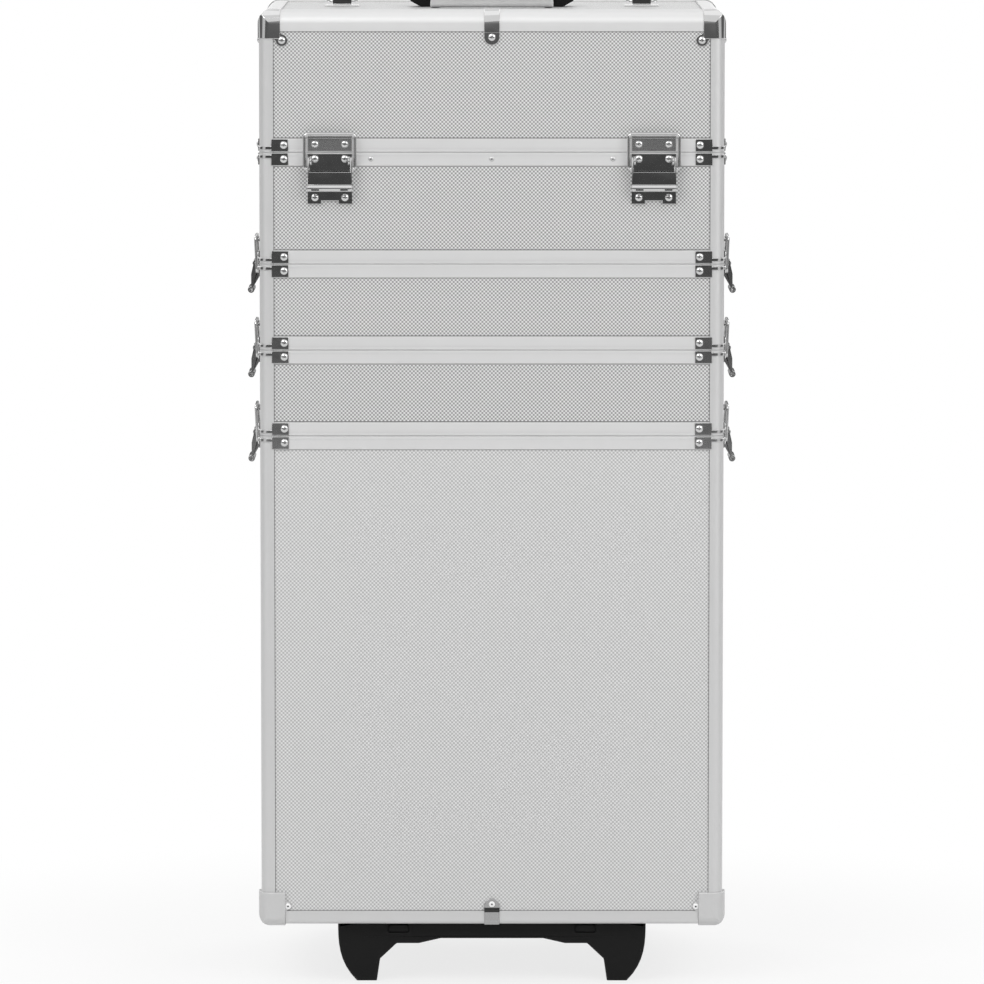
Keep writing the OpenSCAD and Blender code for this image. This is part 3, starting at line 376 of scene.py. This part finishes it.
def makeMoulded(name, colour, worn, roughness, grain, height, metallic=0.0, gloss=0.5):
    material, tree, shader, coords = startMaterial(name)
    cells = place(tree, mouldGrain, Position=coords["Object"], Scale=grain)
    marks = place(tree, handlingMarks, Position=coords["Object"], Scale=moulding["marksScale"])
    feed(tree, shader["Base Color"], mixColour(tree, calc(tree, "MULTIPLY", marks, cells), colour, worn))
    shader["Metallic"].default_value = metallic
    shader["Specular IOR Level"].default_value = gloss
    feed(tree, shader["Roughness"], wander(tree, marks, roughness, moulding["spread"]))
    feed(tree, shader["Normal"], bump(tree, cells, moulding["relief"], height))
    return material


# strap saddle: chrome plate and barrel ends, the barrel's jacket black above the plate
saddleFinish = {
    "chrome": grey(0.80), "black": grey(0.012), "chromeRoughness": 0.1, "blackRoughness": 0.42,
    "plate": 0.0022, "plateHalf": 0.013, "jacket": 0.0072, "marksScale": 40.0, "spread": 0.05,
}


def makeSaddle():
    material, tree, shader, coords = startMaterial("strap saddle")
    low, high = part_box("strap_saddles")
    x, _, z = split(tree, coords["Object"])
    middle = high.x - saddleFinish["plateHalf"]
    off = calc(tree, "ABSOLUTE", calc(tree, "SUBTRACT", calc(tree, "ABSOLUTE", x), middle))
    onJacket = calc(tree, "LESS_THAN", off, saddleFinish["jacket"])
    raised = calc(tree, "GREATER_THAN", z, low.z + saddleFinish["plate"])
    black = calc(tree, "MULTIPLY", onJacket, raised)
    marks = place(tree, handlingMarks, Position=coords["Object"], Scale=saddleFinish["marksScale"])
    feed(tree, shader["Base Color"], mixColour(tree, black, saddleFinish["chrome"], saddleFinish["black"]))
    feed(tree, shader["Metallic"], calc(tree, "SUBTRACT", 1.0, black))
    rough = mixValue(tree, black, saddleFinish["chromeRoughness"], saddleFinish["blackRoughness"])
    feed(tree, shader["Roughness"], calc(tree, "MULTIPLY_ADD", marks, saddleFinish["spread"], rough))
    return material


# lower trim: bright braces at the corners, duller clips in the middle with a painted dark line along their
# fold, painted shade and reflection of the bend
trimFinish = {
    "brace": grey(0.60), "clip": grey(0.40), "fold": grey(0.05), "braceRoughness": 0.09,
    "clipRoughness": 0.24, "spread": 0.05, "clipHalf": 0.02, "foldLow": 0.0091, "foldHigh": 0.0125,
    "marksScale": 40.0, "waveScale": 80.0, "wave": 0.00006,
}


def makeTrim():
    material, tree, shader, coords = startMaterial("lower trim")
    x, _, z = split(tree, coords["Object"])
    onClip = calc(tree, "LESS_THAN", calc(tree, "ABSOLUTE", x), trimFinish["clipHalf"])
    above = calc(tree, "GREATER_THAN", z, baseLow + trimFinish["foldLow"])
    below = calc(tree, "LESS_THAN", z, baseLow + trimFinish["foldHigh"])
    onFoldShade = calc(tree, "MULTIPLY", onClip, calc(tree, "MULTIPLY", above, below))
    marks = place(tree, handlingMarks, Position=coords["Object"], Scale=trimFinish["marksScale"])
    waves = noise(tree, coords["Object"], trimFinish["waveScale"], plating["waveDetail"])
    colour = mixColour(tree, onClip, trimFinish["brace"], trimFinish["clip"])
    # painted shade and dark reflection along the clips' fold
    feed(tree, shader["Base Color"], mixColour(tree, onFoldShade, colour, trimFinish["fold"]))
    shader["Metallic"].default_value = 1.0
    rough = mixValue(tree, onClip, trimFinish["braceRoughness"], trimFinish["clipRoughness"])
    feed(tree, shader["Roughness"], calc(tree, "MULTIPLY_ADD", marks, trimFinish["spread"], rough))
    feed(tree, shader["Normal"], bump(tree, waves, plating["relief"], trimFinish["wave"]))
    return material


finishes = {
    "satin_aluminium": makeRail(),
    "tube_aluminium": makeMetal(
        "drawn tube", grey(0.72), grey(0.60), roughness=0.32, spread=0.16, scale=25.0,
    ),
    "chrome_fittings": makeMetal(
        "bright chrome", grey(0.64), grey(0.56), roughness=0.09, spread=0.05, wave=0.00008,
    ),
    "satinChrome": makeMetal(
        "catch plate", grey(0.64), grey(0.56), roughness=0.22, spread=0.05, wave=0.00003,
    ),
    "plated_steel": makeMetal("zinc plating", grey(0.62), grey(0.48), roughness=0.30, spread=0.14),
    "silver_grip": makeMetal(
        "silver grip", grey(0.86), grey(0.76), roughness=0.34, spread=0.10, scale=18.0,
    ),
    "paleRivet": makeMoulded(
        "pale rivet", grey(0.88), grey(0.80), roughness=0.34, grain=900.0, height=0.00001, metallic=0.2,
    ),
    "cap_grey": makeMoulded(
        "silver cap", grey(0.59), grey(0.52), roughness=0.36, grain=900.0, height=0.00003, metallic=0.25,
    ),
    "black_plastic": makeMoulded(
        "black moulding", grey(0.005), grey(0.013), roughness=0.46, grain=1500.0, height=0.00010,
        gloss=0.14,
    ),
    "button_grey": makeMoulded(
        "grey button", grey(0.05), grey(0.10), roughness=0.38, grain=1300.0, height=0.00006,
    ),
    "hub_plastic": makeMoulded(
        "hub plastic", grey(0.03), grey(0.06), roughness=0.40, grain=1200.0, height=0.00008,
    ),
    "tyre_rubber": makeMoulded(
        "tyre rubber", grey(0.014), grey(0.05), roughness=0.72, grain=1000.0, height=0.00012,
    ),
}
slotOf = {row["node"]: row["material_slot"] for row in frame["record"]["subparts"]}


def dress(piece, material):
    piece.data.materials.clear()
    piece.data.materials.append(material)


for name, node in nodes.items():
    if slotOf[name] == "textured_panel":
        dress(node, makePanel(name.removesuffix("_panels")))
    elif name == "strap_saddles":
        dress(node, makeSaddle())
    elif name == "lower_case_trim":
        dress(node, makeTrim())
    elif name.endswith("_catches"):
        dress(node, finishes["satinChrome"])
    else:
        dress(node, finishes[slotOf[name]])
print("finishes set:", len(bpy.data.materials))

# broken edges on the solids: bevel width by node, or else by finish; none on rails, panels and tyres
edgeBreak = {
    "angle": math.radians(35), "merge": 1e-6, "segments": 2,
    "chrome_fittings": 0.0002, "cap_grey": 0.0006, "black_plastic": 0.0007, "button_grey": 0.0005,
    "hub_plastic": 0.0004, "plated_steel": 0.0003, "tube_aluminium": 0.00015, "silver_grip": 0.0006,
    "front_feet": 0.0016, "pull_grip": 0.0003, "release_button": 0.0008,
}


# merges a node's loose triangles and shades them smooth up to an angle
def makeEdgeShade():
    tree = bpy.data.node_groups.new("edgeShade", "GeometryNodeTree")
    for side in ("INPUT", "OUTPUT"):
        tree.interface.new_socket("Geometry", in_out=side, socket_type="NodeSocketGeometry")
    shape = tree.nodes.new("NodeGroupInput").outputs[0]
    merge = tree.nodes.new("GeometryNodeMergeByDistance")
    merge.inputs["Distance"].default_value = edgeBreak["merge"]
    bare = tree.nodes.new("GeometryNodeRemoveAttribute")
    bare.inputs["Name"].default_value = "custom_normal"
    faces = tree.nodes.new("GeometryNodeSetShadeSmooth")
    edges = tree.nodes.new("GeometryNodeSetShadeSmooth")
    edges.domain = "EDGE"
    angle = tree.nodes.new("GeometryNodeInputMeshEdgeAngle")
    sharp = calc(tree, "GREATER_THAN", angle.outputs["Unsigned Angle"], edgeBreak["angle"])
    feed(tree, edges.inputs["Shade Smooth"], calc(tree, "SUBTRACT", 1.0, sharp))
    for node in (merge, bare, faces, edges):
        feed(tree, node.inputs["Geometry"], shape)
        shape = node.outputs["Geometry"]
    feed(tree, tree.nodes.new("NodeGroupOutput").inputs[0], shape)
    return tree


edgeShade = makeEdgeShade()
for name, node in nodes.items():
    node.modifiers.new("shade", "NODES").node_group = edgeShade
    width = edgeBreak.get(name, edgeBreak.get(slotOf[name]))
    if width:
        bevel = node.modifiers.new("edges", "BEVEL")
        bevel.width, bevel.segments = width, edgeBreak["segments"]
        bevel.limit_method, bevel.angle_limit = "ANGLE", edgeBreak["angle"]
        bevel.use_clamp_overlap = False
        node.modifiers.new("normals", "WEIGHTED_NORMAL").keep_sharp = True
print("edges broken:", sum(len(node.modifiers) > 1 for node in nodes.values()))


# a row of copies of one turned shape: profile (r, h) spun round an axis that stands out of the face
def spunRow(name, profile, spots, body, slot, segments=20, finish=None):
    angle = np.linspace(0, 2 * np.pi, segments, endpoint=False)
    ring = np.stack([np.cos(angle), np.sin(angle)], 1)
    spots = np.array(spots, float)  # count, (origin, right, up, out), 3
    origin, right, up, out = (spots[:, None, None, k] for k in range(4))
    r, h = profile[None, :, None, :1], profile[None, :, None, 1:]
    points = origin + r * (ring[None, None, :, :1] * right + ring[None, None, :, 1:] * up) + h * out
    count, rows, cols = points.shape[:3]
    index = np.arange(count * rows * cols).reshape(count, rows, cols)
    ahead = np.roll(index, -1, axis=2)
    quads = np.stack([index[:, :-1], index[:, 1:], ahead[:, 1:], ahead[:, :-1]], -1).reshape(-1, 4)
    caps = index[:, 0].tolist() + index[:, -1, ::-1].tolist()
    mesh = bpy.data.meshes.new(name)
    mesh.from_pydata(points.reshape(-1, 3), [], quads.tolist() + caps)
    smooth = np.r_[np.ones(len(quads), bool), np.zeros(len(caps), bool)]
    mesh.polygons.foreach_set("use_smooth", smooth)
    piece = bpy.data.objects.new(name, mesh)
    bpy.context.scene.collection.objects.link(piece)
    dress(piece, finishes[finish or slot])
    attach(piece, body)


# right, up and out of each face
faceAxes = {
    "front": ((1, 0, 0), (0, 0, 1), (0, -1, 0)), "back": ((-1, 0, 0), (0, 0, 1), (0, 1, 0)),
    "left": ((0, -1, 0), (0, 0, 1), (-1, 0, 0)), "right": ((0, 1, 0), (0, 0, 1), (1, 0, 0)),
    "under": ((1, 0, 0), (0, -1, 0), (0, 0, -1)),
}
faceReach = {"front": caseHalf, "back": caseHalf, "left": caseHalfDepth, "right": caseHalfDepth}


# a spot on a wall: along from its middle, height above the floor, out from the rails' face
def onWall(face, along, height, out=0.0):
    right, up, normal = (np.array(v, float) for v in faceAxes[face])
    reach = caseHalf if face in ("left", "right") else caseHalfDepth
    origin = np.array([0, caseMid, height]) + along * right + (reach + out) * normal
    return origin, right, up, normal


# both ends of all four walls, at a distance from the corner
def nearCorners(inset, height, out):
    ends = [(face, s * (reach - inset)) for face, reach in faceReach.items() for s in (-1, 1)]
    return [onWall(face, along, height, out) for face, along in ends]


# rows of a rivet's dome, shares of its hole and height, and how far its edge sinks into the sheet
rivetForm = {
    "rows": 8, "domeStart": 1.3, "floorRadius": 0.8, "floorHeight": 0.45, "rimHeight": 0.9, "sink": 0.0004,
}


# blind rivet: ellipsoid cap h = H sqrt(1 - t^2) with a small recess in its middle
def rivetProfile(radius, height, hole):
    start = np.arcsin(hole / radius * rivetForm["domeStart"])
    t = np.sin(np.linspace(start, np.pi / 2, rivetForm["rows"]))
    dome = np.stack([radius * t, height * np.sqrt(np.maximum(1 - t * t, 0))], 1)
    floor = [hole * rivetForm["floorRadius"], height * rivetForm["floorHeight"]]
    rim = [hole, height * rivetForm["rimHeight"]]
    return np.vstack([floor, rim, dome, [radius, -rivetForm["sink"]]])


rivets = {
    "radius": 0.0028, "height": 0.0013, "hole": 0.0006,
    "braceIn": 0.0183, "braceUp": 0.0052, "braceOut": 0.0009,
    "guardIn": 0.017, "guardDown": 0.0223, "earOut": 0.0002,
    "capIn": 0.0200, "capUp": 0.0134, "lidClipDown": 0.0200, "baseClipUp": 0.0150,
    "latchAcross": 0.0111, "catchUp": 0.0060, "baseDown": 0.0050, "footDown": 0.0336, "plateOut": 0.0012,
    "flatRadius": 0.0023, "flatHeight": 0.0008,
    "pinRadius": 0.0008, "pinHeight": 0.0009, "pinHole": 0.00016, "pinSegments": 12,
}
leverLow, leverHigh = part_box("front_left_lever")
latchX = abs(leverLow.x + leverHigh.x) / 2
spots = {body: [] for body in ("lid", "top_case", "upper_tray", "lower_tray", "trolley")}
for tier, below in tierBelow.items():
    spots[tier] += nearCorners(rivets["braceIn"], seam[tier] + rivets["braceUp"], rivets["braceOut"])
    spots[below] += nearCorners(rivets["braceIn"], seam[tier] - rivets["braceUp"], rivets["braceOut"])
    latches = [("front", -latchX), ("front", latchX)] if tier == "lid" else [("left", 0.0), ("right", 0.0)]
    for face, middle in latches:
        for s in (-1, 1):
            along = middle + s * rivets["latchAcross"]
            spots[tier].append(onWall(face, along, seam[tier] + rivets["catchUp"], rivets["plateOut"]))
            for drop in (rivets["baseDown"], rivets["footDown"]):
                spots[below].append(onWall(face, along, seam[tier] - drop, rivets["plateOut"]))
spots["lid"] += nearCorners(rivets["guardIn"], lidTop - rivets["guardDown"], rivets["earOut"])
flatSpots = nearCorners(rivets["capIn"], baseLow + rivets["capUp"], rivets["earOut"])
for face in ("front", "back"):
    spots["lid"].append(onWall(face, 0.0, lidTop - rivets["lidClipDown"], rivets["earOut"]))
    flatSpots.append(onWall(face, 0.0, baseLow + rivets["baseClipUp"], rivets["earOut"]))
rivet = rivetProfile(rivets["radius"], rivets["height"], rivets["hole"])
for body, places in spots.items():
    spunRow(body + "_rivets", rivet, places, body, "chrome_fittings")
# rivets on the caps and base clips: flat, light, with the dark end of the pin in the middle
flatRivet = rivetProfile(rivets["flatRadius"], rivets["flatHeight"], rivets["pinRadius"])
spunRow("base_rivets", flatRivet, flatSpots, "trolley", "cap_grey", finish="paleRivet")
pinEnd = rivetProfile(rivets["pinRadius"], rivets["pinHeight"], rivets["pinHole"])
spunRow("base_rivet_pins", pinEnd, flatSpots, "trolley", "hub_plastic", rivets["pinSegments"])
print("rivets:", {body: len(places) for body, places in spots.items()}, "flat", len(flatSpots))

# small screws in the rim under the lid, and along the hinge leaves
screws = {
    "radius": 0.0019, "height": 0.0008, "hole": 0.0006, "rimDown": 0.0052, "apart": 0.0896,
    "leafUp": 0.0064, "leafOut": 0.0012, "leafCount": 8,
}
screw = rivetProfile(screws["radius"], screws["height"], screws["hole"])
hingeLow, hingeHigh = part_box("hinge_pin")
leafX = (np.arange(screws["leafCount"]) + 0.5) / screws["leafCount"] - 0.5
leafX = leafX * (hingeHigh.x - hingeLow.x)
rimX = (-screws["apart"], 0.0, screws["apart"])
rimSpots = [onWall("front", x, seam["lid"] - screws["rimDown"]) for x in rimX]


def onLeaf(side):
    height = seam["lid"] + side * screws["leafUp"]
    return [onWall("back", x, height, screws["leafOut"]) for x in leafX]


spunRow("top_case_screws", screw, rimSpots + onLeaf(-1), "top_case", "plated_steel")
spunRow("lid_screws", screw, onLeaf(1), "lid", "plated_steel")
spunRow("rim_screw_slots", pinEnd, rimSpots, "top_case", "hub_plastic", rivets["pinSegments"])

# larger screws that hold the tubes in their brackets and the runners to the case
fixings = {
    "radius": 0.0031, "height": 0.0016, "hole": 0.0012, "bracketHalf": 0.017, "bracketUp": 0.013,
    "runnerHalf": 0.007, "runnerDown": 0.014, "runnerFront": 0.016, "runnerRear": 0.085, "runnerCount": 3,
}
fixing = rivetProfile(fixings["radius"], fixings["height"], fixings["hole"])
blockLow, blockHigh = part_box("tube_brackets")
runnerLow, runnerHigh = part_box("base_runners")
runnerY = np.linspace(
    runnerLow.y + fixings["runnerFront"], runnerHigh.y - fixings["runnerRear"], fixings["runnerCount"]
)
underAxes = [np.array(v, float) for v in faceAxes["under"]]
fixSpots = []
for side in (-1, 1):
    bracketX = side * (blockHigh.x - fixings["bracketHalf"])
    for height in (blockLow.z + fixings["bracketUp"], blockHigh.z - fixings["bracketUp"]):
        fixSpots.append(onWall("back", bracketX, height, blockHigh.y - caseBack))
    runnerX = side * (runnerHigh.x - fixings["runnerHalf"])
    for y in runnerY:
        fixSpots.append((np.array([runnerX, y, baseLow - fixings["runnerDown"]]), *underAxes))
spunRow("base_screws", fixing, fixSpots, "trolley", "plated_steel")
print("screws:", len(rimSpots) + 2 * len(leafX) + len(fixSpots))

# white floor and background, soft lamps, dark cards that only reflections see
studio = {
    "floorReach": 12.0, "floorColour": grey(0.86), "floorRoughness": 0.8, "floorGlow": 0.78,
    "fadeStart": 0.25, "fadeEnd": 0.65, "ambient": 0.48,
    "cardDistance": 3.0, "cardHalf": 3.0, "cardLow": 0.02, "cardTop": 1.5, "backTop": 0.74,
    "cardDark": grey(0.06), "cardLight": grey(0.36), "cardBand": 0.42, "cardFade": 0.7,
    "endLight": grey(0.75), "endStart": 0.55, "endWidth": 0.7, "slack": 0.01,
}


def flatPiece(name, corners, material):
    mesh = bpy.data.meshes.new(name)
    mesh.from_pydata(corners, [], [tuple(range(len(corners)))])
    piece = bpy.data.objects.new(name, mesh)
    bpy.context.scene.collection.objects.link(piece)
    dress(piece, material)
    return piece


# 1 for what the camera sees by itself, in a reflection or through glass
def seenRays(tree):
    rays = tree.nodes.new("ShaderNodeLightPath").outputs
    byWay = calc(tree, "MAXIMUM", rays["Is Glossy Ray"], rays["Is Transmission Ray"])
    return calc(tree, "MAXIMUM", rays["Is Camera Ray"], byWay)


# floor that turns to plain white away from the case, and keeps part of the shadow near it
def floorMaterial():
    material, tree, shader, coords = startMaterial("floor")
    shader["Base Color"].default_value = studio["floorColour"]
    shader["Roughness"].default_value = studio["floorRoughness"]
    x, y, _ = split(tree, coords["Object"])
    squares = calc(tree, "ADD", calc(tree, "POWER", x, 2.0), calc(tree, "POWER", y, 2.0))
    fade = tree.nodes.new("ShaderNodeMapRange")
    fade.interpolation_type = "SMOOTHSTEP"
    limits = (studio["fadeStart"], studio["fadeEnd"], studio["floorGlow"], 1.0)
    for socket, value in zip(fade.inputs, (calc(tree, "SQRT", squares), *limits)):
        feed(tree, socket, value)
    glow = tree.nodes.new("ShaderNodeEmission")
    mixer = tree.nodes.new("ShaderNodeMixShader")
    feed(tree, mixer.inputs[0], calc(tree, "MULTIPLY", seenRays(tree), fade.outputs[0]))
    tree.links.new(tree.nodes["Principled BSDF"].outputs[0], mixer.inputs[1])
    tree.links.new(glow.outputs[0], mixer.inputs[2])
    tree.links.new(mixer.outputs[0], tree.nodes["Material Output"].inputs["Surface"])
    return material


reach = studio["floorReach"]
floorCorners = [(sx * reach, sy * reach, 0) for sx, sy in ((-1, -1), (1, -1), (1, 1), (-1, 1))]
flatPiece("floor", floorCorners, floorMaterial())


# faintly glowing card: darkest at the height that flat faces mirror, side cards lighter at their ends
def makeCard():
    material, tree, _, coords = startMaterial("dark card")
    x, y, height = split(tree, coords["Object"])
    away = calc(tree, "ABSOLUTE", calc(tree, "SUBTRACT", height, studio["cardBand"]))
    share = calc(tree, "MINIMUM", calc(tree, "DIVIDE", away, studio["cardFade"]), 1.0)
    colour = mixColour(tree, share, studio["cardDark"], studio["cardLight"])
    sideStart = studio["cardDistance"] - studio["slack"]
    atSide = calc(tree, "GREATER_THAN", calc(tree, "ABSOLUTE", x), sideStart)
    pastStart = calc(tree, "SUBTRACT", calc(tree, "ABSOLUTE", y), studio["endStart"])
    end = clamp(tree, calc(tree, "DIVIDE", pastStart, studio["endWidth"]))
    colour = mixColour(tree, calc(tree, "MULTIPLY", atSide, end), colour, studio["endLight"])
    glow = tree.nodes.new("ShaderNodeEmission")
    feed(tree, glow.inputs["Color"], colour)
    tree.links.new(glow.outputs[0], tree.nodes["Material Output"].inputs["Surface"])
    return material


cardMaterial = makeCard()
# front, right, back and left; the back one is lower
cardTops = (studio["cardTop"], studio["cardTop"], studio["backTop"], studio["cardTop"])
for turn, top in enumerate(cardTops):
    away = np.array([math.sin(turn * math.pi / 2), -math.cos(turn * math.pi / 2)])
    side = np.array([-away[1], away[0]]) * studio["cardHalf"]
    centre = away * studio["cardDistance"]
    low = studio["cardLow"]
    corners = [(*(centre + s * side), z) for s, z in ((-1, low), (1, low), (1, top), (-1, top))]
    card = flatPiece("card" + str(turn), corners, cardMaterial)
    card.visible_camera = card.visible_diffuse = card.visible_shadow = False

world = bpy.data.worlds.new("studio")
bpy.context.scene.world = world
world.use_nodes = True
tree = world.node_tree
plain = tree.nodes["Background"]
plain.inputs["Strength"].default_value = studio["ambient"]
plain.inputs["Color"].default_value = grey(1.0)
white = tree.nodes.new("ShaderNodeBackground")
white.inputs["Color"].default_value = grey(1.0)
mixer = tree.nodes.new("ShaderNodeMixShader")
feed(tree, mixer.inputs[0], seenRays(tree))
tree.links.new(plain.outputs[0], mixer.inputs[1])
tree.links.new(white.outputs[0], mixer.inputs[2])
tree.links.new(mixer.outputs[0], tree.nodes["World Output"].inputs["Surface"])

# soft boxes: where each stands, how large it is and its power (W)
lamps = {
    "key": ((-1.6, -2.6, 2.6), 2.2, 47.3), "fill": ((1.9, -2.4, 1.8), 2.2, 33.0),
    "backLeft": ((-1.8, 2.4, 2.2), 2.0, 22), "backRight": ((1.8, 2.4, 2.2), 2.0, 22),
    "above": ((0.0, 0.0, 3.4), 2.4, 6),
}
caseCentre = Vector((0, caseMid, (lidTop + baseLow) / 2))
for name, (spot, size, power) in lamps.items():
    lamp = bpy.data.lights.new(name, "AREA")
    lamp.size, lamp.energy = size, power
    holder = bpy.data.objects.new(name, lamp)
    bpy.context.scene.collection.objects.link(holder)
    holder.location = spot
    holder.rotation_mode = "QUATERNION"
    holder.rotation_quaternion = (Vector(spot) - caseCentre).to_track_quat("Z", "Y")
print("studio:", len(cardTops), "cards,", len(lamps), "lamps")

# the photograph's view: a long lens a little above the lid
shot = {
    "distance": 5.5, "eye": 0.918, "aim": 0.3710, "side": 0.0001, "pixelsPerMetre": 1344.0, "frame": 984,
    "sensor": 36.0, "farthest": 100.0,
}
camera = bpy.data.cameras.new("camera")
holder = bpy.data.objects.new("camera", camera)
bpy.context.scene.collection.objects.link(holder)
bpy.context.scene.camera = holder
holder.location = (shot["side"], caseFront - shot["distance"], shot["eye"])
rise = shot["eye"] - shot["aim"]
pitch = math.atan2(rise, shot["distance"])
holder.rotation_euler = (math.pi / 2 - pitch, 0, 0)
camera.sensor_width = shot["sensor"]
focus = math.hypot(shot["distance"], rise)
camera.lens = shot["pixelsPerMetre"] * focus * shot["sensor"] / shot["frame"]
camera.clip_end = shot["farthest"]
bpy.context.scene.view_settings.view_transform = "Standard"
print("camera: pitch", round(math.degrees(pitch), 2), "lens", round(camera.lens, 1))
